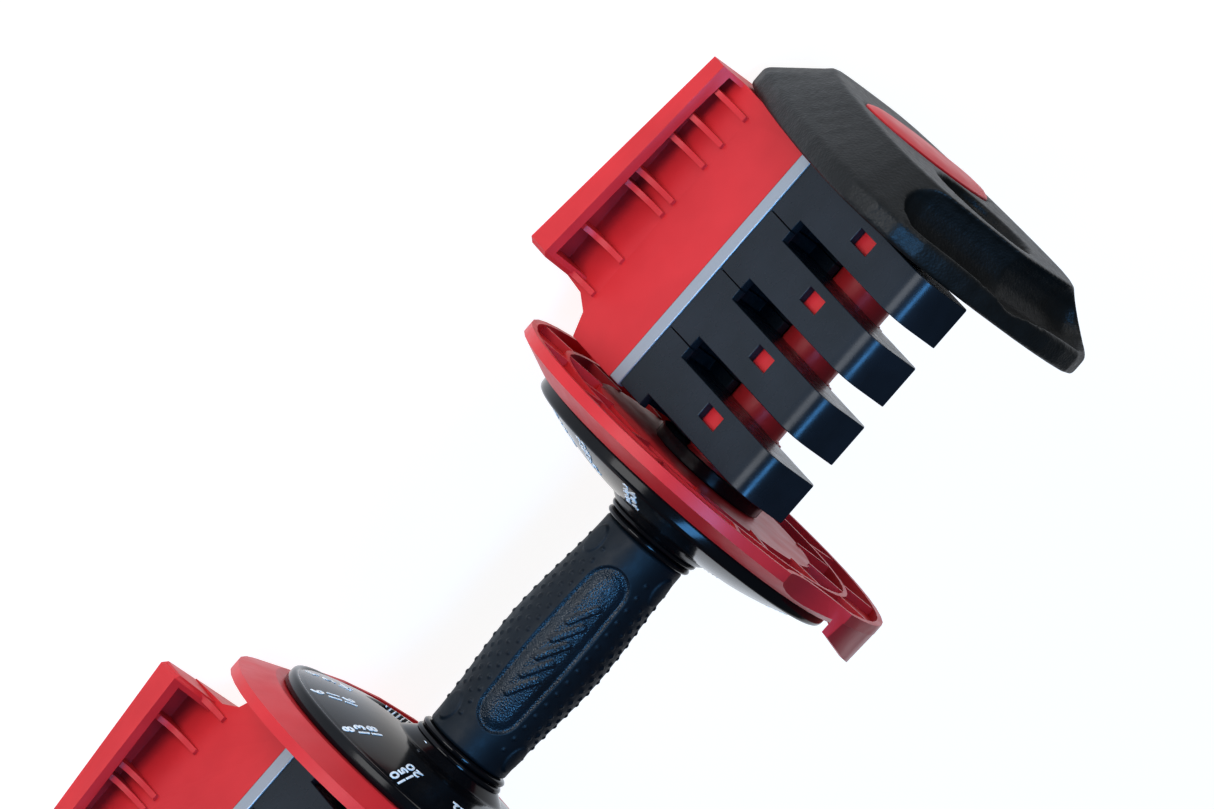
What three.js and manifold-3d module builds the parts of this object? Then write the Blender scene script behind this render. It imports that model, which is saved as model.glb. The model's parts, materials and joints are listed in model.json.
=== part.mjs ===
// Adjustable dumbbell: a central handle, a rotating selector at each end, four hook plates a side
// standing in a red cradle with a black end cap. Millimetres, +Z up, X along the handle,
// +Y the side the plates' windows face. The model is drawn about the handle's axis and then lifted
// so that the cradles stand on z = 0.
import * as THREE from 'three';
import { mergeVertices } from 'three/addons/utils/BufferGeometryUtils.js';
import Module from 'manifold-3d';

const wasm = await Module();
wasm.setup();

// driving dimensions
const axisHeight = 91;          // handle axis above the floor
const gap = 0.3;                // between pieces that touch
const roundSteps = 40;          // sides of a large round piece
const smallSteps = 16;          // sides of a small one

const axleRadius = 8;
const gripHalf = 49.5;
const gripEndRadius = 17.7;
const gripMidRadius = 20.7;
const ferruleOuter = 52.3;      // outer face of the ring at each end of the grip
const dialHubStart = 52.6;
const dialRimRadius = 66.5;
const dialBack = 73;
const discFront = 73.3;         // handle side of the red disc
const discRimStart = 79;
const discRimEnd = 83.3;
const discRadius = 83.4;
const discWall = 2.5;
const hubPlateau = 82;
const hubRadius = 50;
const coreRadius = 12;
const coreEnd = 188;
const collarRadius = 24;
const ringRadius = 14;
const seatRadius = 12.6;        // saddle of a plate, round the core tube
const grooveRadius = 14.6;      // groove of a plate, round the ridged ring

const plateStart = 88;
const platePitch = 27.7;
const plateCount = 4;
const plateSeam = 0.3;
const plateEnd = 195;           // the outermost plate stops here, under the end cap
const prongInset = 4.9;         // half the slot between two prongs
const prongThickness = 17.9;
const windowShift = 2.2;        // windows and grooves sit this far outward of the prong's middle
const plateHalfWidth = 40;
const tongueHalfWidth = 37;     // part of a plate that stands in the cradle
const prongTop = 63.4;
const prongFillet = 10;
const slotFloor = -7.3;
const plateFoot = -86;
const windowCentre = 25.7;
const windowSize = [6.2, 11.5];
const grooveWidth = 8.2;
const well = { y: [13.5, 36.5], bottom: -21 };  // hollow at the foot of the slot between two prongs

const stripTop = -22.8;
const stripHeight = 6.4;
const stripThickness = 2.4;
const farDrop = 7.3;            // the far wall of the cradle is this much lower

const cradleEnds = [86.7, 195.3];
const cradleWall = 2.7;
const cradleEndWall = 1.8;
const cradleFloor = 4;
const flangeStart = 103;
const flangeLip = [12, 8];      // lip height at the disc end and at the cap end
const flangeReach = [58, 48];   // lip half width at the same two ends
const gussetPlaces = [102.8, 118.5, 140.7, 146.7, 163.8, 173.8, 186.5];
const gussetThickness = 2.2;
const gussetTop = -64;
const undercut = {              // what is left out under the disc end, as an (x, z) line
  line: [[101, -92], [99.5, -71], [95.5, -63], [86, -58]], from: 70, bottom: -100, halfWidth: 50,
};

const capStart = 195.6;
const capBand = 203.5;
const capFace = 221;
const plaque = { height: -24, half: [34, 17], sink: 2.2, rise: 2, sides: 28 };

// solids

function signedVolume(points, corners) {
  const [a, b, c] = [new THREE.Vector3(), new THREE.Vector3(), new THREE.Vector3()];
  let volume = 0;
  for (let i = 0; i < corners.length; i += 3) {
    a.fromArray(points, 3 * corners[i]);
    b.fromArray(points, 3 * corners[i + 1]);
    c.fromArray(points, 3 * corners[i + 2]);
    volume += a.dot(b.cross(c)) / 6;
  }
  return volume;
}

function solid(geometry) {
  const bare = geometry.clone();
  bare.deleteAttribute('normal');
  bare.deleteAttribute('uv');
  const merged = mergeVertices(bare, 1e-4);
  const points = Float32Array.from(merged.attributes.position.array);
  const index = merged.index.array;
  const corners = [];
  for (let i = 0; i < index.length; i += 3) {
    const [a, b, c] = [index[i], index[i + 1], index[i + 2]];
    if (a !== b && b !== c && c !== a) corners.push(a, b, c);
  }
  if (signedVolume(points, corners) < 0) corners.reverse();
  const mesh = new wasm.Mesh({ numProp: 3, vertProperties: points, triVerts: Uint32Array.from(corners) });
  return new wasm.Manifold(mesh);
}

function toGeometry(body) {
  const mesh = body.getMesh();
  const geometry = new THREE.BufferGeometry();
  geometry.setAttribute('position', new THREE.BufferAttribute(mesh.vertProperties, 3));
  geometry.setIndex(new THREE.BufferAttribute(mesh.triVerts, 1));
  return geometry;
}

function join(...bodies) {
  return bodies.reduce((sum, body) => sum.add(body));
}

function cut(body, ...tools) {
  return tools.reduce((rest, tool) => rest.subtract(tool), body);
}

// a profile of [x, radius] points turned about the X axis
function turned(profile, steps = roundSteps) {
  const points = profile.map(([x, radius]) => new THREE.Vector2(radius, x));
  const geometry = new THREE.LatheGeometry(points, steps);
  geometry.rotateZ(-Math.PI / 2);
  return solid(geometry);
}

function rod(start, end, radius, steps = smallSteps) {
  return turned([[start, 0], [start, radius], [end, radius], [end, 0]], steps);
}

function ring(start, end, inner, outer, steps = smallSteps) {
  return turned([[start, inner], [start, outer], [end, outer], [end, inner], [start, inner]], steps);
}

function block([x0, x1], [y0, y1], [z0, z1]) {
  const geometry = new THREE.BoxGeometry(x1 - x0, y1 - y0, z1 - z0);
  geometry.translate((x0 + x1) / 2, (y0 + y1) / 2, (z0 + z1) / 2);
  return solid(geometry);
}

// a shape drawn in (y, z), extruded along X
function prismOf(shape, start, end, curveSegments = 6) {
  const depth = end - start;
  const geometry = new THREE.ExtrudeGeometry(shape, { depth, bevelEnabled: false, curveSegments });
  const [alongX, alongY, alongZ] = [[1, 0, 0], [0, 1, 0], [0, 0, 1]].map((v) => new THREE.Vector3(...v));
  geometry.applyMatrix4(new THREE.Matrix4().makeBasis(alongY, alongZ, alongX));
  geometry.translate(start, 0, 0);
  return solid(geometry);
}

// the room left out under the disc end of the cradle, grown inward by an inset
function undercutTool(inset) {
  const line = undercut.line.map(([x, z]) => new THREE.Vector2(x + inset, z + inset));
  const corners = [
    new THREE.Vector2(undercut.from, undercut.bottom),
    new THREE.Vector2(line[0].x, undercut.bottom),
    ...line,
    new THREE.Vector2(undercut.from, line.at(-1).y),
  ];
  const depth = 2 * undercut.halfWidth;
  const geometry = new THREE.ExtrudeGeometry(new THREE.Shape(corners), { depth, bevelEnabled: false });
  geometry.rotateX(Math.PI / 2);
  geometry.translate(0, undercut.halfWidth, 0);
  return solid(geometry);
}

function outline(points) {
  return new THREE.Shape(points.map(([y, z]) => new THREE.Vector2(y, z)));
}

function prism(points, start, end) {
  return prismOf(outline(points), start, end);
}

// skin over a row of closed rings, each with equally many [x, y, z] points, with flat ends
function loft(rings) {
  const count = rings[0].length;
  const last = (rings.length - 1) * count;
  const corners = [];
  for (let start = 0; start < last; start += count) {
    for (let i = 0; i < count; i += 1) {
      const [a, b] = [start + i, start + ((i + 1) % count)];
      corners.push(a, a + count, b, b, a + count, b + count);
    }
  }
  for (let i = 1; i + 1 < count; i += 1) {
    corners.push(0, i, i + 1);
    corners.push(last, last + i + 1, last + i);
  }
  const geometry = new THREE.BufferGeometry();
  geometry.setAttribute('position', new THREE.Float32BufferAttribute(rings.flat(2), 3));
  geometry.setIndex(corners);
  return solid(geometry);
}

function atStation(x, rim) {
  return rim.map(([y, z]) => [x, y, z]);
}

// finishes
const finishes = {
  gripRubber: { color: 0x14232d, roughness: 0.55, metalness: 0 },
  blackGloss: { color: 0x0b0c0e, roughness: 0.12, metalness: 0 },
  redPlastic: { color: 0xc8202a, roughness: 0.35, metalness: 0 },
  plateSteel: { color: 0x222b33, roughness: 0.35, metalness: 0.3 },
  brightSteel: { color: 0xc4c9d1, roughness: 0.25, metalness: 1 },
  capPlastic: { color: 0x17181a, roughness: 0.5, metalness: 0 },
};

const dumbbell = new THREE.Group();
dumbbell.name = 'adjustable_dumbbell';
dumbbell.position.z = axisHeight;

function place(name, body, finish, side = 1) {
  let geometry = toGeometry(body);
  if (side < 0) {
    geometry.scale(-1, 1, 1);
    geometry = toGeometry(solid(geometry));
  }
  const mesh = new THREE.Mesh(geometry, new THREE.MeshStandardMaterial(finishes[finish]));
  mesh.name = name;
  dumbbell.add(mesh);
}

// handle

const detent = { radius: 2.2, height: 13, pocketRadius: 2.6, pocketEnd: 38, ballCentre: 49.9 };

function detentPocket() {
  const pocket = rod(detent.pocketEnd, ferruleOuter + 1, detent.pocketRadius, 12);
  return pocket.translate([0, 0, -detent.height]);
}

function gripSleeve() {
  const barrel = [
    [-gripHalf, axleRadius + gap], [-gripHalf, gripEndRadius - 1], [-gripHalf + 1.5, gripEndRadius],
    [-38, gripEndRadius + 0.5], [-24, gripMidRadius - 0.6], [0, gripMidRadius],
    [24, gripMidRadius - 0.6], [38, gripEndRadius + 0.5], [gripHalf - 1.5, gripEndRadius],
    [gripHalf, gripEndRadius - 1], [gripHalf, axleRadius + gap], [-gripHalf, axleRadius + gap],
  ];
  const body = turned(barrel, 24);
  const pockets = detentPocket();
  return cut(body, pockets, pockets.rotate([0, 0, 180]));
}

function ferrule() {
  const body = turned([
    [gripHalf + gap, axleRadius + gap], [gripHalf + gap, gripEndRadius + 0.6],
    [gripHalf + 1.4, gripEndRadius + 1.2], [ferruleOuter, gripEndRadius + 0.6],
    [ferruleOuter, axleRadius + gap], [gripHalf + gap, axleRadius + gap],
  ], 24);
  return cut(body, detentPocket());
}

function detentBall() {
  const geometry = new THREE.SphereGeometry(detent.radius, 8, 6);
  geometry.translate(detent.ballCentre, 0, -detent.height);
  return solid(geometry);
}

// a coil spring, as a tube along a helix
class Helix extends THREE.Curve {
  constructor(start, end, radius, turns, height) {
    super();
    Object.assign(this, { start, end, radius, turns, height });
  }

  getPoint(t, target = new THREE.Vector3()) {
    const angle = t * this.turns * 2 * Math.PI;
    const x = this.start + t * (this.end - this.start);
    return target.set(x, this.radius * Math.cos(angle), this.height + this.radius * Math.sin(angle));
  }
}

function detentSpring() {
  const wire = 0.45;
  const turns = 4;
  const start = detent.pocketEnd + wire + gap;
  const end = detent.ballCentre - detent.radius - wire - gap;
  const path = new Helix(start, end, detent.pocketRadius - wire - gap, turns, -detent.height);
  const section = new THREE.Shape();
  section.absarc(0, 0, wire, 0, 2 * Math.PI);
  const geometry = new THREE.ExtrudeGeometry(section, {
    steps: turns * 8, curveSegments: 3, bevelEnabled: false, extrudePath: path,
  });
  return solid(geometry);
}

// hexagonal nut that keeps the selector on the axle
function axleNut() {
  const corners = [];
  for (let i = 0; i < 6; i += 1) corners.push(polar(coreRadius - 1, 60 * i));
  const start = coreEnd + gap;
  return cut(prism(corners, start, start + 4.5), rod(coreEnd, coreEnd + 6, axleRadius + gap));
}

place('grip_sleeve', gripSleeve(), 'gripRubber');
place('axle_rod', rod(-coreEnd - 5.5, coreEnd + 5.5, axleRadius), 'brightSteel');

// selector: dial, disc, core tube, ridged rings and hub collar

function dial() {
  const tube = axleRadius + gap;
  return turned([
    [dialHubStart, tube], [dialHubStart, 18.5], [dialHubStart + 1.4, 20], [58, 20.5], [58.5, 29],
    [60, 39], [63, 50], [66, 61], [69, dialRimRadius], [dialBack, dialRimRadius],
    [dialBack, 63.5], [69, 60.5], [65.6, 49], [61.4, 27], [61.4, 14],
    [dialBack, 14], [dialBack, tube], [dialHubStart, tube],
  ]);
}

const notch = { depth: 9, radius: 32, wall: 2.5 };
const ribCount = 12;
const guard = { from: 9, to: 98, steps: 8, low: 6.6, rise: 8.4, inner: 80.4 };

function polar(radius, degrees) {
  const angle = THREE.MathUtils.degToRad(degrees);
  return [radius * Math.cos(angle), radius * Math.sin(angle)];
}

// wall on the handle side of the rim that swells and falls again beside the notch
function guardWall(notchAngle, guardTurn) {
  const rings = [];
  for (let step = 0; step <= guard.steps; step += 1) {
    const along = step / guard.steps;
    const angle = notchAngle + guardTurn * THREE.MathUtils.lerp(guard.from, guard.to, along);
    const top = discRimStart - guard.low - guard.rise * Math.sin(Math.PI * along);
    const section = [
      [top, guard.inner], [top, guard.inner + 2.2], [discRimStart + 1, discRadius - 0.1],
      [discRimStart + 1, guard.inner],
    ];
    rings.push(section.map(([x, radius]) => [x, ...polar(radius, angle)]));
  }
  return loft(rings);
}

// notchAngle is measured from +Y towards +Z; the guard lies guardTurn way round from it
function disc(notchAngle, guardTurn) {
  const bore = coreRadius + gap;
  const web = discFront + discWall;
  const rimFloor = discRimStart + 0.8;
  const innerRim = discRadius - discWall;
  const wheel = turned([
    [discFront, bore], [discFront, 70.5], [discRimStart, discRadius], [discRimEnd, discRadius],
    [discRimEnd, innerRim], [rimFloor, innerRim], [rimFloor, 67], [discRimEnd - 0.5, 67],
    [discRimEnd - 0.5, 65], [web, 65], [web, hubRadius], [hubPlateau, hubRadius],
    [hubPlateau, bore], [discFront, bore],
  ], 48);
  const ribs = [];
  for (let i = 0; i < ribCount; i += 1) {
    const turn = (360 * i) / ribCount + notchAngle;
    const outerRib = block([rimFloor - 0.4, discRimEnd - 0.5], [66, innerRim + 1], [-1, 1]);
    const innerRib = block([web - 0.4, discRimEnd - 0.7], [hubRadius - 1, 66], [-1.1, 1.1]);
    ribs.push(outerRib.rotate([turn, 0, 0]), innerRib.rotate([turn + 180 / ribCount, 0, 0]));
  }
  const biteCentre = polar(discRadius - notch.depth + notch.radius, notchAngle);
  const bite = (radius) => rod(discFront - 20, discRimEnd + 1, radius, 32).translate([0, ...biteCentre]);
  const envelope = turned([
    [discFront, 0], [discFront, 70.5], [discRimStart, discRadius], [discRimEnd, discRadius], [discRimEnd, 0],
  ], 48);
  const scoopWall = bite(notch.radius + notch.wall).intersect(envelope);
  return cut(join(wheel, scoopWall, guardWall(notchAngle, guardTurn), ...ribs), bite(notch.radius));
}

function coreTube() {
  return ring(discFront + gap, coreEnd, axleRadius + gap, coreRadius);
}

function hubCollar() {
  return ring(hubPlateau + gap, plateStart - gap, coreRadius + gap, collarRadius);
}

const finCount = 10;

function ridgedRing(centre) {
  const rim = [];
  for (let i = 0; i < finCount; i += 1) {
    const start = (360 * i) / finCount;
    rim.push(polar(ringRadius - 1, start), polar(ringRadius - 1, start + 14));
    rim.push(polar(ringRadius, start + 19), polar(ringRadius, start + 31));
  }
  const half = grooveWidth / 2 - gap;
  return cut(prism(rim, centre - half, centre + half), rod(centre - 10, centre + 10, coreRadius + gap));
}

// plates

function plateSpan(index) {
  const start = plateStart + platePitch * index;
  return [start, Math.min(start + platePitch - plateSeam, plateEnd)];
}

function windowPlace(index) {
  return plateSpan(index)[0] + prongInset + prongThickness / 2 + windowShift;
}

function prongShape() {
  const shape = new THREE.Shape();
  shape.moveTo(-19.4, slotFloor - 8);
  shape.lineTo(plateHalfWidth, slotFloor - 8);
  shape.lineTo(plateHalfWidth, prongTop - prongFillet);
  shape.absarc(plateHalfWidth - prongFillet, prongTop - prongFillet, prongFillet, 0, Math.PI / 2);
  shape.lineTo(seatRadius + 2.5, prongTop);
  shape.lineTo(seatRadius, prongTop - 3);
  shape.lineTo(seatRadius, 0);
  shape.lineTo(-seatRadius, 0);
  shape.lineTo(-19.4, slotFloor);
  return shape;
}

function plate(index) {
  const [start, end] = plateSpan(index);
  const centre = windowPlace(index);
  const farTop = stripTop - farDrop + gap;
  const body = prism([
    [plateHalfWidth, stripTop + gap], [plateHalfWidth, slotFloor], [-19.4, slotFloor],
    [-plateHalfWidth, farTop + 0.6], [-plateHalfWidth, farTop],
    [-tongueHalfWidth + 1, farTop], [tongueHalfWidth - 1, stripTop + gap],
  ], start, end);
  const tongue = prism([
    [tongueHalfWidth, plateFoot], [tongueHalfWidth, stripTop + 1], [-tongueHalfWidth, farTop + 1],
    [-tongueHalfWidth, plateFoot],
  ], start + 1, Math.min(end - 1, cradleEnds[1] - cradleEndWall - gap));
  const prongStart = start + prongInset;
  const prong = prismOf(prongShape(), prongStart, prongStart + prongThickness);
  const saddle = rod(start - 1, end + 1, seatRadius);
  const half = grooveWidth / 2;
  const groove = rod(centre - half, centre + half, grooveRadius);
  const lift = block([centre - half, centre + half], [-grooveRadius, grooveRadius], [0, prongTop + 1]);
  const pocket = block([centre - half, centre + half], [10, plateHalfWidth - 3], [slotFloor + 6, 36]);
  const [wide, high] = windowSize;
  const opening = block(
    [centre - wide / 2, centre + wide / 2],
    [plateHalfWidth - 5, plateHalfWidth + 1],
    [windowCentre - high / 2, windowCentre + high / 2],
  );
  const wells = [[start - 1, prongStart], [prongStart + prongThickness, end + 1]].map((span) => (
    block(span, well.y, [well.bottom, 0])
  ));
  const standing = cut(tongue, undercutTool(cradleWall + gap));
  return cut(join(body, standing, prong), saddle, groove, lift, pocket, opening, ...wells);
}

// red slide behind the window of a plate
function lockSlide(index) {
  const centre = windowPlace(index);
  const front = plateHalfWidth - 3 - gap;
  const half = grooveWidth / 2 - 0.5;
  return block([centre - half, centre + half], [front - 6, front], [2, 35]);
}

// cradle

// floor sheet and lip that stand out along one side of the cradle
function flangeSide(y) {
  const [lipStart, lipEnd] = flangeLip;
  const [reachStart, reachEnd] = flangeReach;
  const floor = -axisHeight;
  const inner = plateHalfWidth - 1;
  const end = cradleEnds[1];
  const station = (x, reach, lip) => atStation(x, [
    [y * inner, floor], [y * reach, floor], [y * (reach + 0.6), floor + lip], [y * inner, floor + lip + 6],
  ]);
  const plateLike = loft([station(flangeStart, reachStart, lipStart), station(end, reachEnd, lipEnd)]);
  const corner = loft([
    station(flangeStart - 1.8, reachStart - 2.4, lipStart - 1),
    station(flangeStart, reachStart, lipStart),
  ]);
  const solidFlange = join(plateLike, corner);
  // hollow the flange from above, so that a floor sheet, the lip and the gussets are left
  const sheet = 3;
  const hollow = (x, reach, lip) => atStation(x, [
    [y * (inner + 1), floor + sheet], [y * (reach - 3), floor + sheet],
    [y * (reach - 3), floor + lip + 20], [y * (inner + 1), floor + lip + 20],
  ]);
  const tool = loft([hollow(flangeStart + 2, reachStart, lipStart), hollow(end - 2, reachEnd, lipEnd)]);
  return cut(solidFlange, tool);
}

function gusset(x, y) {
  const along = Math.max(0, (x - flangeStart) / (cradleEnds[1] - flangeStart));
  const reach = THREE.MathUtils.lerp(flangeReach[0], flangeReach[1], along) - 1;
  const lip = THREE.MathUtils.lerp(flangeLip[0], flangeLip[1], along) - 1;
  const floor = -axisHeight;
  const inner = plateHalfWidth - 1;
  const shape = new THREE.Shape();
  shape.moveTo(y * inner, floor + 1);
  shape.lineTo(y * reach, floor + 1);
  shape.lineTo(y * reach, floor + lip);
  shape.quadraticCurveTo(y * (plateHalfWidth + 3), floor + lip, y * (plateHalfWidth + 1.4), gussetTop);
  shape.lineTo(y * inner, gussetTop);
  return prismOf(shape, x - gussetThickness / 2, x + gussetThickness / 2, 5);
}

function cradle() {
  const [start, end] = cradleEnds;
  const nearTop = stripTop - stripHeight - gap;
  const farTop = nearTop - farDrop;
  const shell = prism([
    [-plateHalfWidth, -axisHeight], [plateHalfWidth, -axisHeight], [plateHalfWidth, nearTop],
    [-plateHalfWidth, farTop],
  ], start, end);
  const inside = block(
    [start + cradleEndWall + 0.2, end - cradleEndWall],
    [-plateHalfWidth + cradleWall, plateHalfWidth - cradleWall],
    [-axisHeight + cradleFloor, 0],
  );
  const pieces = [];
  for (const y of [-1, 1]) {
    pieces.push(flangeSide(y));
    for (const x of gussetPlaces) pieces.push(gusset(x, y));
  }
  return cut(join(cut(shell, undercutTool(0)), ...pieces), cut(inside, undercutTool(cradleWall)));
}

function strip(y) {
  const top = y > 0 ? stripTop : stripTop - farDrop;
  const faces = [plateHalfWidth - stripThickness, plateHalfWidth + 0.4].map((v) => v * y);
  faces.sort((a, b) => a - b);
  return block([cradleEnds[0] + 0.3, cradleEnds[1] - 0.6], faces, [top - stripHeight, top]);
}

// end cap

const capRim = [
  [0, 65.5], [24, 64], [53, 53.5], [65, 33], [65.5, 8], [57, -28], [46, -58], [32, -84], [0, -88],
];
const recess = { height: 20, wide: { radius: 22, depth: 4 }, narrow: { radius: 16, depth: 8 }, sides: 24 };
const scoop = { radius: 11.5, length: 46, lean: 0.26, x: 213, y: 21, z: 54 };
const capFaceRim = [
  [0, 52], [18, 50.5], [39, 42], [49, 25], [49.5, 5], [44, -26], [35, -50], [22, -69], [0, -72],
];
const capSides = 40;

// an even, rounded outline through half of its corners and their mirror images
function roundedOutline(half, shrink = 0) {
  const mirrored = half.slice(1, -1).map(([y, z]) => [-y, z]).reverse();
  const corners = [...half, ...mirrored].map(([y, z]) => new THREE.Vector3(y, z, 0));
  const curve = new THREE.CatmullRomCurve3(corners, true, 'centripetal');
  const points = curve.getSpacedPoints(capSides).slice(0, capSides);
  return points.map((point) => {
    const inward = point.clone().setLength(point.length() - shrink);
    return [inward.x, inward.y];
  });
}

function endCap() {
  const body = loft([
    atStation(capStart, roundedOutline(capRim, 1)),
    atStation(capStart + 1, roundedOutline(capRim)),
    atStation(capBand, roundedOutline(capRim)),
    atStation(capBand + 1.5, roundedOutline(capRim, 1)),
    atStation(capFace - 2, roundedOutline(capFaceRim)),
    atStation(capFace, roundedOutline(capFaceRim, 2)),
  ]);
  const scoops = [-1, 1].map((y) => {
    const geometry = new THREE.CapsuleGeometry(scoop.radius, scoop.length, 3, 12);
    geometry.rotateX(-y * scoop.lean);
    geometry.translate(scoop.x, y * scoop.y, scoop.z);
    return solid(geometry);
  });
  const steps = [recess.wide, recess.narrow].map(({ radius, depth }) => (
    rod(capFace - depth, capFace + 1, radius, recess.sides).translate([0, 0, recess.height])
  ));
  const pocket = plaqueShape(0.4, capFace - plaque.sink - gap, capFace + 1);
  return cut(body, ...scoops, ...steps, pocket);
}

function plaqueShape(grow, start, end) {
  const shape = new THREE.Shape();
  shape.absellipse(0, plaque.height, plaque.half[0] + grow, plaque.half[1] + grow, 0, 2 * Math.PI);
  return prismOf(shape, start, end, 10);
}

// a flat-backed oval that swells towards its middle
function plaqueDome() {
  const oval = (x, shrink) => {
    const rim = [];
    for (let i = 0; i < plaque.sides; i += 1) {
      const [y, z] = polar(1, (360 * i) / plaque.sides);
      rim.push([y * (plaque.half[0] - shrink), plaque.height + z * (plaque.half[1] - shrink)]);
    }
    return atStation(x, rim);
  };
  const base = capFace - plaque.sink;
  const top = capFace + plaque.rise;
  return loft([oval(base, 0), oval(capFace + 0.4, 0), oval(capFace + 1.5, 3), oval(top, 8)]);
}

// one side of the dumbbell; a negative side is the mirrored head

const heads = [
  { label: 'right', side: 1, notchAngle: 94.5, guardTurn: 1 },
  { label: 'left', side: -1, notchAngle: -75, guardTurn: -1 },
];

for (const { label, side, notchAngle, guardTurn } of heads) {
  place(`${label}_ferrule`, ferrule(), 'blackGloss', side);
  place(`${label}_axle_nut`, axleNut(), 'brightSteel', side);
  place(`${label}_detent_ball`, detentBall(), 'brightSteel', side);
  place(`${label}_detent_spring`, detentSpring(), 'brightSteel', side);
  place(`${label}_dial`, dial(), 'blackGloss', side);
  place(`${label}_disc`, disc(notchAngle, guardTurn), 'redPlastic', side);
  place(`${label}_core_tube`, coreTube(), 'redPlastic', side);
  place(`${label}_hub_collar`, hubCollar(), 'blackGloss', side);
  for (let index = 0; index < plateCount; index += 1) {
    place(`${label}_selector_ring_${index + 1}`, ridgedRing(windowPlace(index)), 'redPlastic', side);
    place(`${label}_plate_${index + 1}`, plate(index), 'plateSteel', side);
    place(`${label}_lock_slide_${index + 1}`, lockSlide(index), 'redPlastic', side);
  }
  place(`${label}_cradle`, cradle(), 'redPlastic', side);
  place(`${label}_strip_front`, strip(1), 'brightSteel', side);
  place(`${label}_strip_back`, strip(-1), 'brightSteel', side);
  place(`${label}_end_cap`, endCap(), 'capPlastic', side);
  place(`${label}_plaque`, plaqueDome(), 'redPlastic', side);
}

export default dumbbell;
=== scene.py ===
import json
import math

import bmesh
import bpy
from mathutils import Matrix, Vector

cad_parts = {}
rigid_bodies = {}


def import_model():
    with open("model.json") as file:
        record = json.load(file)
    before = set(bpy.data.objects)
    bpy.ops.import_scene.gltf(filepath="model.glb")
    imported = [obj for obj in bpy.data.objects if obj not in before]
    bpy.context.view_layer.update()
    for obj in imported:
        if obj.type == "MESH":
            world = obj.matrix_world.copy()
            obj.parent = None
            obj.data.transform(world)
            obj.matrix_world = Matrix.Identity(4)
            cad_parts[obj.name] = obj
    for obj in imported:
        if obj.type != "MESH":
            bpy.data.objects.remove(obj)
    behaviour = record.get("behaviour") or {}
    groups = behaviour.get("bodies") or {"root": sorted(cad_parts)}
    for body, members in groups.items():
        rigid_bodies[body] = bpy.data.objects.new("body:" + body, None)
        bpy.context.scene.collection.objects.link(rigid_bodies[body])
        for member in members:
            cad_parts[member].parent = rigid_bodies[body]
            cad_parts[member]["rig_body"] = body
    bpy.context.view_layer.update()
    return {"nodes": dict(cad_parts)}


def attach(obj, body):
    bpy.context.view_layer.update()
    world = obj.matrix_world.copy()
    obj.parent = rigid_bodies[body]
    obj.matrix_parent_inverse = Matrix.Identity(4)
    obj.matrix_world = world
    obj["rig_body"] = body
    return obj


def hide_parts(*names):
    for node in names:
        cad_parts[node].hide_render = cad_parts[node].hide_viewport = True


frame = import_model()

mm = 0.001
axisHeight = 91 * mm
sides = (("right", 1), ("left", -1))
print("frame loaded")


# materials

def startMaterial(name, colour, roughness, metallic=0.0, specular=0.5):
    material = bpy.data.materials.new(name)
    material.use_nodes = True
    shader = material.node_tree.nodes["Principled BSDF"]
    shader.inputs["Base Color"].default_value = (*colour, 1)
    shader.inputs["Roughness"].default_value = roughness
    shader.inputs["Metallic"].default_value = metallic
    shader.inputs["Specular IOR Level"].default_value = specular
    return material


def objectPattern(material, kind, scale, stretch=(1, 1, 1), detail=3.0):
    # a noise or voronoi node on object coordinates, scale in cells per metre
    nodes, links = material.node_tree.nodes, material.node_tree.links
    coords = nodes.new("ShaderNodeTexCoord")
    mapping = nodes.new("ShaderNodeMapping")
    mapping.inputs["Scale"].default_value = stretch
    links.new(coords.outputs["Object"], mapping.inputs["Vector"])
    if kind == "noise":
        pattern = nodes.new("ShaderNodeTexNoise")
        pattern.inputs["Detail"].default_value = detail
        height = pattern.outputs["Fac"]
    else:
        pattern = nodes.new("ShaderNodeTexVoronoi")
        height = pattern.outputs["Distance"]
    pattern.inputs["Scale"].default_value = scale
    links.new(mapping.outputs["Vector"], pattern.inputs["Vector"])
    return height


def addBump(material, heights, distance):
    # heights is a list of (socket, strength), laid one over the other
    nodes, links = material.node_tree.nodes, material.node_tree.links
    shader = nodes["Principled BSDF"]
    below = None
    for height, strength in heights:
        bump = nodes.new("ShaderNodeBump")
        bump.inputs["Strength"].default_value = strength
        bump.inputs["Distance"].default_value = distance
        links.new(height, bump.inputs["Height"])
        if below:
            links.new(below, bump.inputs["Normal"])
        below = bump.outputs["Normal"]
    links.new(below, shader.inputs["Normal"])


def varyRoughness(material, height, low, high):
    nodes, links = material.node_tree.nodes, material.node_tree.links
    spread = nodes.new("ShaderNodeMapRange")
    spread.inputs["From Min"].default_value = 0.3
    spread.inputs["From Max"].default_value = 0.7
    spread.inputs["To Min"].default_value = low
    spread.inputs["To Max"].default_value = high
    links.new(height, spread.inputs["Value"])
    links.new(spread.outputs["Result"], nodes["Principled BSDF"].inputs["Roughness"])


def varyColour(material, height, dark, light, low=0.35, high=0.65):
    nodes, links = material.node_tree.nodes, material.node_tree.links
    ramp = nodes.new("ShaderNodeValToRGB")
    ramp.color_ramp.elements[0].position = low
    ramp.color_ramp.elements[0].color = (*dark, 1)
    ramp.color_ramp.elements[1].position = high
    ramp.color_ramp.elements[1].color = (*light, 1)
    links.new(height, ramp.inputs["Fac"])
    links.new(ramp.outputs["Color"], nodes["Principled BSDF"].inputs["Base Color"])


def makeRedPlastic():
    material = startMaterial("redPlastic", (0.6, 0.03, 0.034), 0.38, specular=0.3)
    cloudy = objectPattern(material, "noise", 30)
    varyColour(material, cloudy, (0.56, 0.027, 0.031), (0.63, 0.034, 0.038))
    varyRoughness(material, objectPattern(material, "noise", 90), 0.33, 0.43)
    addBump(material, [(objectPattern(material, "noise", 2600), 0.12)], 0.0001)
    return material


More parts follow.
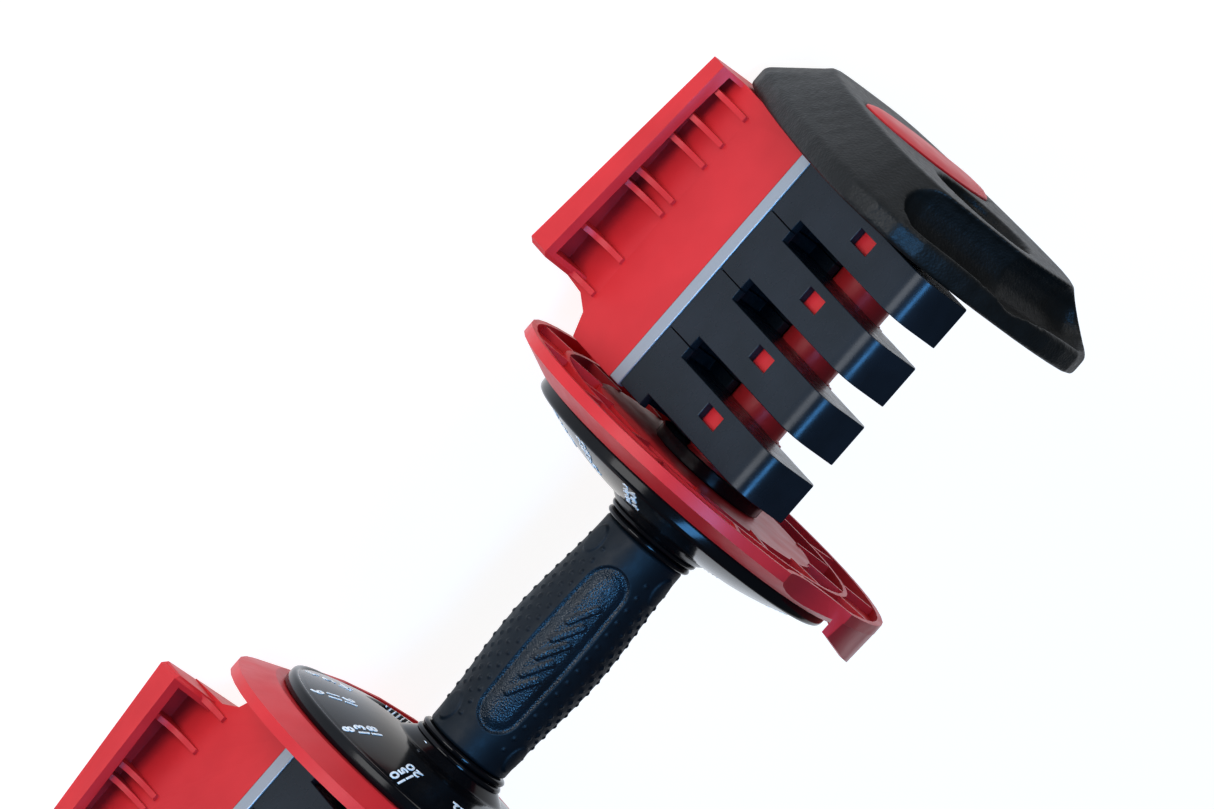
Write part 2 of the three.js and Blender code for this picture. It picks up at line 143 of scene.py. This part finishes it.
def makePlateCoat():
    material = startMaterial("plateCoat", (0.012, 0.017, 0.022), 0.28, metallic=0.15, specular=0.35)
    cloudy = objectPattern(material, "noise", 45)
    varyColour(material, cloudy, (0.009, 0.014, 0.019), (0.014, 0.02, 0.027))
    varyRoughness(material, objectPattern(material, "noise", 160), 0.23, 0.31)
    addBump(material, [(objectPattern(material, "noise", 3200), 0.15)], 0.0001)
    return material


def makeBlackGloss():
    material = startMaterial("blackGloss", (0.004, 0.004, 0.005), 0.14, specular=0.28)
    varyRoughness(material, objectPattern(material, "noise", 60), 0.11, 0.18)
    addBump(material, [(objectPattern(material, "noise", 120, detail=1.0), 0.03)], 0.0002)
    return material


def makeCapGrain():
    material = startMaterial("capGrain", (0.01, 0.01, 0.01), 0.46, specular=0.3)
    dark, light = (0.008, 0.0078, 0.007), (0.012, 0.0118, 0.0108)
    varyColour(material, objectPattern(material, "noise", 160), dark, light)
    varyRoughness(material, objectPattern(material, "noise", 400), 0.4, 0.5)
    pebble = objectPattern(material, "voronoi", 900)
    crease = objectPattern(material, "noise", 420, detail=5.0)
    addBump(material, [(crease, 0.3), (pebble, 0.35)], 0.0003)
    return material


def makeGripRubber():
    material = startMaterial("gripRubber", (0.004, 0.009, 0.013), 0.5, specular=0.3)
    varyColour(material, objectPattern(material, "noise", 60), (0.003, 0.007, 0.011), (0.005, 0.011, 0.016))
    varyRoughness(material, objectPattern(material, "noise", 300), 0.45, 0.57)
    addBump(material, [(objectPattern(material, "noise", 1900, detail=4.0), 0.25)], 0.0002)
    return material


def makePanelRubber():
    material = startMaterial("panelRubber", (0.004, 0.014, 0.022), 0.3)
    varyColour(material, objectPattern(material, "noise", 80), (0.003, 0.009, 0.014), (0.006, 0.017, 0.026))
    varyRoughness(material, objectPattern(material, "noise", 500), 0.22, 0.38)
    pebble = objectPattern(material, "voronoi", 1500)
    addBump(material, [(pebble, 0.7)], 0.0003)
    return material


def makeSilverTrim():
    material = startMaterial("silverTrim", (0.36, 0.38, 0.4), 0.42, metallic=0.6)
    streak = objectPattern(material, "noise", 500, stretch=(0.05, 1, 1))
    varyRoughness(material, streak, 0.38, 0.5)
    addBump(material, [(streak, 0.12)], 0.0001)
    return material


def makeTurnedSteel():
    material = startMaterial("turnedSteel", (0.55, 0.56, 0.58), 0.25, metallic=1.0)
    turning = objectPattern(material, "noise", 900, stretch=(1, 0.05, 0.05))
    varyRoughness(material, turning, 0.2, 0.36)
    addBump(material, [(turning, 0.15)], 0.0001)
    return material


def makeWhitePrint():
    material = startMaterial("whitePrint", (0.8, 0.8, 0.78), 0.4)
    varyColour(material, objectPattern(material, "noise", 700), (0.7, 0.7, 0.69), (0.84, 0.84, 0.82))
    return material


redPlastic = makeRedPlastic()
plateCoat = makePlateCoat()
blackGloss = makeBlackGloss()
capGrain = makeCapGrain()
gripRubber = makeGripRubber()
panelRubber = makePanelRubber()
silverTrim = makeSilverTrim()
turnedSteel = makeTurnedSteel()
whitePrint = makeWhitePrint()
print("materials made")


# shared mesh work

def finishPiece(name, bm, materials, body, replaced=(), sharp=30):
    mesh = bpy.data.meshes.new(name)
    bm.to_mesh(mesh)
    bm.free()
    for material in materials:
        mesh.materials.append(material)
    mesh.shade_smooth()
    mesh.set_sharp_from_angle(angle=math.radians(sharp))
    piece = bpy.data.objects.new(name, mesh)
    bpy.context.scene.collection.objects.link(piece)
    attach(piece, body)
    if replaced:
        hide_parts(*replaced)
    return piece


def addBevel(piece, width, segments=2, angle=35):
    bevel = piece.modifiers.new("edges", "BEVEL")
    bevel.width = width * mm
    bevel.segments = segments
    bevel.limit_method = "ANGLE"
    bevel.angle_limit = math.radians(angle)
    bevel.harden_normals = False
    bevel.use_clamp_overlap = True
    return bevel


def refineNode(node, material, width, segments=2, angle=35):
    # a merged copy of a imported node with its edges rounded
    source = frame["nodes"][node]
    bm = bmesh.new()
    bm.from_mesh(source.data)
    bmesh.ops.remove_doubles(bm, verts=bm.verts, dist=0.002 * mm)
    bmesh.ops.dissolve_limit(bm, angle_limit=math.radians(1), verts=bm.verts, edges=bm.edges)
    piece = finishPiece(node + "_shape", bm, [material], source["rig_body"], (node,))
    addBevel(piece, width, segments, angle)
    return piece


def spinProfile(profile, steps, side=1):
    # turns (x, radius) points in millimetres about the handle's axis
    bm = bmesh.new()
    verts = [bm.verts.new((x * mm, 0, radius * mm)) for x, radius in profile]
    edges = [bm.edges.new(pair) for pair in zip(verts, verts[1:])]
    bmesh.ops.spin(
        bm, geom=verts + edges, cent=(0, 0, 0), axis=(1, 0, 0), angle=2 * math.pi,
        steps=steps, use_merge=True, use_duplicate=False,
    )
    bmesh.ops.remove_doubles(bm, verts=bm.verts, dist=0.001 * mm)
    if side < 0:
        bmesh.ops.scale(bm, vec=(-1, 1, 1), verts=bm.verts)
    bmesh.ops.recalc_face_normals(bm, faces=bm.faces)
    return bm


def liftToAxis(bm):
    bmesh.ops.translate(bm, vec=(0, 0, axisHeight), verts=bm.verts)


def smoothStep(value):
    value = min(max(value, 0.0), 1.0)
    return value * value * (3 - 2 * value)


def angleApart(a, b):
    return (a - b + 180) % 360 - 180


# grip

grip = {
    "halfLength": 49.5, "endRadius": 17.3, "midRadius": 20.1, "bore": 8.4,
    "panels": (48, 168, 288), "panelHalf": 38, "panelWidth": 9.3, "panelDepth": 1.2,
    "padShift": -57, "padPlace": 40, "padSize": (6.5, 5.2), "padHeight": 0.75,
    "swell": 1.02, "endRounding": 1.2, "roundingPull": 0.6, "meanRadius": 19,
    "grooveWidth": 0.9, "crownStart": 0.8, "crownWidth": 4.5, "crownHeight": 1.1,
    "bars": (-17, -8.5, 0, 8.5, 17), "barHalf": 7, "barWidth": 1.3, "barTilt": 28, "barHeight": 0.7,
    "bumpRadius": 1.15, "bumpHeight": 0.5, "bumpPitch": 5.6, "stations": 230, "steps": 270,
    "bumpRows": ((-36, 40, 0), (36, 40, 0), (-46, 31, 2.8), (-57, 30, 0), (-66, 31, 2.8)),
}


def gripRadius(x):
    along = abs(x) / grip["halfLength"]
    body = grip["midRadius"] - (grip["midRadius"] - grip["endRadius"]) * smoothStep(along * grip["swell"])
    roundOff = max(0.0, abs(x) - (grip["halfLength"] - grip["endRounding"]))
    return body - roundOff * roundOff * grip["roundingPull"]


def stadiumDistance(u, v, half, radius):
    beyond = max(0.0, abs(u) - (half - radius))
    return math.hypot(beyond, v) - radius


def gripRelief(x, degrees):
    # height above the plain barrel, and whether the point is in a palm panel
    height = 0.0
    inPanel = False
    perDegree = math.radians(1) * grip["meanRadius"]
    for panel in grip["panels"]:
        v = angleApart(degrees, panel) * perDegree
        edge = stadiumDistance(x, v, grip["panelHalf"], grip["panelWidth"])
        if edge < 0:
            inPanel = True
            groove = smoothStep(-edge / grip["grooveWidth"])
            crown = smoothStep((-edge - grip["crownStart"]) / grip["crownWidth"])
            height = -grip["panelDepth"] * groove + grip["crownHeight"] * crown
            tilt = math.radians(grip["barTilt"])
            for centre in grip["bars"]:
                u = x - centre
                along = u * math.cos(tilt) + v * math.sin(tilt)
                across = -u * math.sin(tilt) + v * math.cos(tilt)
                bar = stadiumDistance(along, across, grip["barHalf"], grip["barWidth"])
                height += grip["barHeight"] * smoothStep(-bar / 0.45 + 0.3)
        w = angleApart(degrees, panel + grip["padShift"]) * perDegree
        for end in (-1, 1):
            long, wide = grip["padSize"]
            far = math.hypot((x - end * grip["padPlace"]) / long, w / wide)
            height += grip["padHeight"] * smoothStep((1 - far) * 7)
        for turn, half, shift in grip["bumpRows"]:
            r = angleApart(degrees, panel + turn) * perDegree
            if abs(r) > 2 or abs(x) > half:
                continue
            u = (x + shift + 2.8) % grip["bumpPitch"] - 2.8  # from the nearest bump of the row
            far = math.hypot(u, r) / grip["bumpRadius"]
            height += grip["bumpHeight"] * smoothStep((1 - far) * 2)
    return height, inPanel


def makeGrip():
    profile = [(-grip["halfLength"], grip["bore"])]
    count = grip["stations"]
    for i in range(count + 1):
        x = -grip["halfLength"] + 2 * grip["halfLength"] * i / count
        profile.append((x, gripRadius(x)))
    profile += [(grip["halfLength"], grip["bore"]), (-grip["halfLength"], grip["bore"])]
    bm = spinProfile(profile, grip["steps"])
    panelVerts = set()
    for vert in bm.verts:
        x, y, z = vert.co / mm
        radius = math.hypot(y, z)
        if radius < grip["bore"] + 2 or abs(x) > grip["halfLength"] - 0.8:
            continue
        height, inPanel = gripRelief(x, math.degrees(math.atan2(z, y)))
        vert.co.y *= (radius + height) / radius
        vert.co.z *= (radius + height) / radius
        if inPanel:
            panelVerts.add(vert)
    for face in bm.faces:
        if all(vert in panelVerts for vert in face.verts):
            face.material_index = 1
    liftToAxis(bm)
    looks = [gripRubber, panelRubber]
    finishPiece("grip_shape", bm, looks, "handle", ("grip_sleeve",), sharp=60)


makeGrip()
print("grip made")


# dials

dial = {
    "face": 58, "flare": 11, "flarePower": 1.9,  # the bell's face, from the hub outwards
    "window": (22.5, 40.5), "windowHalf": 9.5, "windowDepth": 4.6, "windowShift": 9,
    "wallWidth": 2.6, "faceBand": 0.4, "faceStart": 22, "steps": 256,
    "stripes": 8, "stripeLength": 5, "stripePitch": 2.1, "stripeLean": 58,
    "notch": {"right": 94.5, "left": -75},
    "hub": [
        (52.6, 8.4), (52.6, 17.9), (52.9, 18.8), (53.5, 19.3), (54.2, 19.4), (54.5, 18.9), (54.8, 19.4),
    ],
    "lip": [
        (67.9, 63.6), (68.0, 64.0), (67.6, 64.5), (67.6, 65.3), (68.0, 66.0), (68.7, 66.4),
        (69.5, 66.5), (72.4, 66.5), (72.8, 66.3), (73, 65.9), (73, 63.5),
    ],
    "inside": [
        (69.5, 60), (66, 49), (65.5, 27), (65.5, 14), (73, 14), (73, 8.4), (52.6, 8.4),
    ],
}


def bellFace(radius):
    along = max(0.0, (radius - 20) / 46.5)
    return dial["face"] + dial["flare"] * along ** dial["flarePower"]


def dialProfile():
    profile = list(dial["hub"])
    for step in range(9):  # fillet between hub and bell
        turn = math.radians(90 * step / 8)
        profile.append((58.2 - 3.2 * math.cos(turn), 19.6 + 4.4 * (1 - math.cos(turn))))
    radius = 25.0
    while radius < 63.2:
        profile.append((bellFace(radius), radius))
        radius += 0.75
    return profile + dial["lip"] + dial["inside"]


def windowDepth(radius, degrees, centre):
    low, high = dial["window"]
    across = abs(angleApart(degrees, centre)) * math.radians(radius)
    edge = min(radius - low, high - radius, dial["windowHalf"] - across)
    return dial["windowDepth"] * smoothStep(edge / dial["wallWidth"])


def makeDial(label, side):
    bm = spinProfile(dialProfile(), dial["steps"])
    centre = dial["notch"][label] + dial["windowShift"]
    for vert in bm.verts:
        x, y, z = vert.co / mm
        radius = math.hypot(y, z)
        if radius > dial["faceStart"] and abs(x - bellFace(radius)) < dial["faceBand"]:
            vert.co.x += windowDepth(radius, math.degrees(math.atan2(z, y)), centre) * mm
    if side < 0:
        bmesh.ops.scale(bm, vec=(-1, 1, 1), verts=bm.verts)
        bmesh.ops.reverse_faces(bm, faces=bm.faces)
    liftToAxis(bm)
    body, replaced = label + "_selector", (label + "_dial",)
    finishPiece(label + "_dial_shape", bm, [blackGloss], body, replaced, sharp=50)


def makeStripes(label, side):
    # thin ribs that lie across the sloping wall of the window, one beside the next along a radius
    bm = bmesh.new()
    centre = dial["notch"][label] + dial["windowShift"]
    middle = sum(dial["window"]) / 2
    lean = math.radians(dial["stripeLean"])
    for index in range(dial["stripes"]):
        radius = middle + (index - (dial["stripes"] - 1) / 2) * dial["stripePitch"]
        made = bmesh.ops.create_cube(bm, size=1)["verts"]
        bmesh.ops.scale(bm, vec=(0.5 * mm, dial["stripeLength"] * mm, 0.8 * mm), verts=made)
        bmesh.ops.rotate(bm, cent=(0, 0, 0), matrix=Matrix.Rotation(lean, 3, "Z"), verts=made)
        place = Vector((bellFace(radius) + dial["windowDepth"] / 2, dial["windowHalf"] - 1.5, radius)) * mm
        bmesh.ops.translate(bm, vec=place, verts=made)
    turn = Matrix.Rotation(math.radians(centre - 90), 3, "X")
    bmesh.ops.rotate(bm, cent=(0, 0, 0), matrix=turn, verts=bm.verts)
    if side < 0:
        bmesh.ops.scale(bm, vec=(-1, 1, 1), verts=bm.verts)
    bmesh.ops.recalc_face_normals(bm, faces=bm.faces)
    liftToAxis(bm)
    piece = finishPiece(label + "_thumb_stripes", bm, [whitePrint], label + "_selector")
    addBevel(piece, 0.15)


digits = {
    "height": 5.1, "bold": 0.12, "rows": (59.6, 53.4, 47.2), "steps": 11, "first": 32, "spacing": 26.5,
    "raise": 0.12, "thick": 0.3, "dot": {"x": 56.6, "radius": 21.0, "size": 1.3, "angle": 84},
}


def textMesh(words, height):
    curve = bpy.data.curves.new("words", "FONT")
    curve.body = words
    curve.size = height * 1.35
    curve.align_x = "CENTER"
    curve.align_y = "CENTER"
    curve.resolution_u = 3
    curve.extrude = digits["thick"] / 2
    curve.offset = digits["bold"]
    holder = bpy.data.objects.new("words", curve)
    bpy.context.scene.collection.objects.link(holder)
    bpy.context.view_layer.update()
    mesh = bpy.data.meshes.new_from_object(holder.evaluated_get(bpy.context.evaluated_depsgraph_get()))
    bpy.data.objects.remove(holder)
    return mesh


def makeDigits(label, side):
    # printed steps, wrapped on the bell, each group read from the hub outwards
    bm = bmesh.new()
    notchAngle = dial["notch"][label]
    value = 4
    for step in range(digits["steps"]):
        degrees = notchAngle + digits["first"] + digits["spacing"] * step
        for row, radius in enumerate(digits["rows"]):
            mesh = textMesh(str(value + 2 * step + 5 * row), digits["height"])
            before = len(bm.verts)
            bm.from_mesh(mesh)
            bpy.data.meshes.remove(mesh)
            bm.verts.ensure_lookup_table()
            for vert in bm.verts[before:]:
                u, v, depth = vert.co
                at = radius + v
                turn = math.radians(degrees) + side * u / at
                x = bellFace(at) - digits["raise"] - depth
                vert.co = Vector((side * x, at * math.cos(turn), at * math.sin(turn))) * mm
    bmesh.ops.remove_doubles(bm, verts=bm.verts, dist=0.005 * mm)
    bmesh.ops.recalc_face_normals(bm, faces=bm.faces)
    dot = digits["dot"]
    made = bmesh.ops.create_cone(
        bm, cap_ends=True, segments=24, radius1=dot["size"] * mm, radius2=dot["size"] * mm, depth=1.2 * mm,
    )["verts"]
    bmesh.ops.translate(bm, vec=Vector((side * dot["x"], 0, dot["radius"] - 1.1)) * mm, verts=made)
    turn = Matrix.Rotation(math.radians(notchAngle + dot["angle"] - 90), 3, "X")
    bmesh.ops.rotate(bm, cent=(0, 0, 0), matrix=turn, verts=made)
    liftToAxis(bm)
    finishPiece(label + "_digits", bm, [whitePrint], label + "_selector")


def makeFerrule(label, side):
    profile = [
        (49.8, 8.4), (49.8, 17.6), (50.1, 18.3), (50.7, 18.8), (51.3, 18.8), (51.9, 18.5), (52.3, 17.8),
        (52.3, 8.4), (49.8, 8.4),
    ]
    bm = spinProfile(profile, 128, side)
    liftToAxis(bm)
    replaced = (label + "_ferrule",)
    finishPiece(label + "_ferrule_shape", bm, [blackGloss], "handle", replaced, sharp=50)


for label, side in sides:
    makeDial(label, side)
    makeStripes(label, side)
    makeDigits(label, side)
    makeFerrule(label, side)
print("dials made")


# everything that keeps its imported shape, with rounded edges

nodeLooks = {
    "disc": (redPlastic, "red_plastic", 0.5), "core_tube": (redPlastic, "red_plastic", 0.3),
    "hub_collar": (blackGloss, "black_gloss", 0.5), "cradle": (redPlastic, "red_plastic", 0.7),
    "strip_front": (silverTrim, "silver_trim", 0.4), "strip_back": (silverTrim, "silver_trim", 0.4),
    "axle_nut": (turnedSteel, "bright_steel", 0.3), "plaque": (redPlastic, "red_plastic", 0.3),
}
for number in range(1, 5):
    nodeLooks[f"plate_{number}"] = (plateCoat, "plate_steel", 0.6)
    nodeLooks[f"selector_ring_{number}"] = (redPlastic, "red_plastic", 0.25)
    nodeLooks[f"lock_slide_{number}"] = (redPlastic, "red_plastic", 0.2)

for label, side in sides:
    for part, (material, slotName, width) in nodeLooks.items():
        refineNode(f"{label}_{part}", material, width)


cap = {"voxel": 0.9, "softness": 0.5, "passes": 9}


def makeCap(label):
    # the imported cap, remeshed finely so that its edges and scoop melt into each other
    source = frame["nodes"][label + "_end_cap"]
    bm = bmesh.new()
    bm.from_mesh(source.data)
    bmesh.ops.remove_doubles(bm, verts=bm.verts, dist=0.002 * mm)
    piece = finishPiece(label + "_cap_shape", bm, [capGrain], label + "_base", (source.name,))
    remesh = piece.modifiers.new("fine", "REMESH")
    remesh.mode = "VOXEL"
    remesh.voxel_size = cap["voxel"] * mm
    remesh.use_smooth_shade = True
    soften = piece.modifiers.new("soft", "SMOOTH")
    soften.factor = cap["softness"]
    soften.iterations = cap["passes"]


for label, side in sides:
    makeCap(label)

for node in ["axle_rod"] + [f"{label}_detent_{part}" for label, _ in sides for part in ("ball", "spring")]:
    shown = frame["nodes"][node]
    shown.data.materials.clear()
    shown.data.materials.append(turnedSteel)
print("heads made")


# floor, light and camera

view = {
    "turn": 48.96, "tilt": 6.3, "roll": 48, "lens": 453.2, "distance": 5.508,
    "shiftRight": 0.0182, "shiftUp": 0.0869,
}


def makeCamera():
    tilt, roll, turn = (math.radians(view[key]) for key in ("tilt", "roll", "turn"))
    toCamera = Vector((math.sin(tilt), math.cos(tilt) * math.cos(roll), math.cos(tilt) * math.sin(roll)))
    alongHandle = (Vector((1, 0, 0)) - math.sin(tilt) * toCamera) / math.cos(tilt)
    acrossHandle = Vector((0, -math.sin(roll), math.cos(roll)))
    right = math.cos(turn) * alongHandle + math.sin(turn) * acrossHandle
    up = math.sin(turn) * alongHandle - math.cos(turn) * acrossHandle
    target = Vector((0, 0, axisHeight)) + view["shiftRight"] * right + view["shiftUp"] * up
    data = bpy.data.cameras.new("camera")
    data.lens = view["lens"]
    data.sensor_width = 36
    data.clip_end = 50
    camera = bpy.data.objects.new("camera", data)
    bpy.context.scene.collection.objects.link(camera)
    matrix = Matrix((right, up, toCamera)).transposed().to_4x4()
    matrix.translation = target + view["distance"] * toCamera
    camera.matrix_world = matrix
    bpy.context.scene.camera = camera
    return right, up, toCamera


studio = {
    "floorSize": 4, "floorShade": 0.25, "floorGlow": 0.9, "worldStrength": 0.12, "gamma": 0.84,
    "key": {"size": (1.6, 1.6), "power": 42, "colour": (1, 1, 1)},
    "fill": {"size": (0.8, 0.8), "power": 7, "colour": (1, 0.98, 0.95)},
    "blueBox": {"size": (0.9, 0.26), "power": 14, "colour": (0.15, 0.5, 1)},
}


def addLight(name, place, target):
    settings = studio[name]
    data = bpy.data.lights.new(name, "AREA")
    data.shape = "RECTANGLE"
    data.size, data.size_y = settings["size"]
    data.energy = settings["power"]
    data.color = settings["colour"]
    light = bpy.data.objects.new(name, data)
    bpy.context.scene.collection.objects.link(light)
    light.location = place
    light.rotation_euler = (Vector(target) - Vector(place)).to_track_quat("-Z", "Y").to_euler()


def makeStage():
    bm = bmesh.new()
    bmesh.ops.create_grid(bm, x_segments=1, y_segments=1, size=studio["floorSize"])
    mesh = bpy.data.meshes.new("floor")
    bm.to_mesh(mesh)
    bm.free()
    material = startMaterial("paleFloor", (studio["floorShade"],) * 3, 0.8)
    shader = material.node_tree.nodes["Principled BSDF"]
    shader.inputs["Emission Color"].default_value = (1, 1, 1, 1)
    shader.inputs["Emission Strength"].default_value = studio["floorGlow"]
    mesh.materials.append(material)
    floor = bpy.data.objects.new("floor", mesh)
    bpy.context.scene.collection.objects.link(floor)


right, up, toCamera = makeCamera()
makeStage()
middle = Vector((0, 0, axisHeight))
addLight("key", middle + 1.6 * toCamera - 1.2 * right + 0.9 * up, middle)
addLight("fill", middle + Vector((1.5, 0.5, 0.7)), middle)
addLight("blueBox", middle + Vector((0.1, 0.52, 1.0)), middle)
world = bpy.data.worlds.new("studio")
world.use_nodes = True
world.node_tree.nodes["Background"].inputs["Color"].default_value = (1, 1, 1, 1)
world.node_tree.nodes["Background"].inputs["Strength"].default_value = studio["worldStrength"]
bpy.context.scene.world = world
bpy.context.scene.view_settings.view_transform = "Standard"
bpy.context.scene.view_settings.gamma = studio["gamma"]
print("stage made")

bpy.context.view_layer.update()
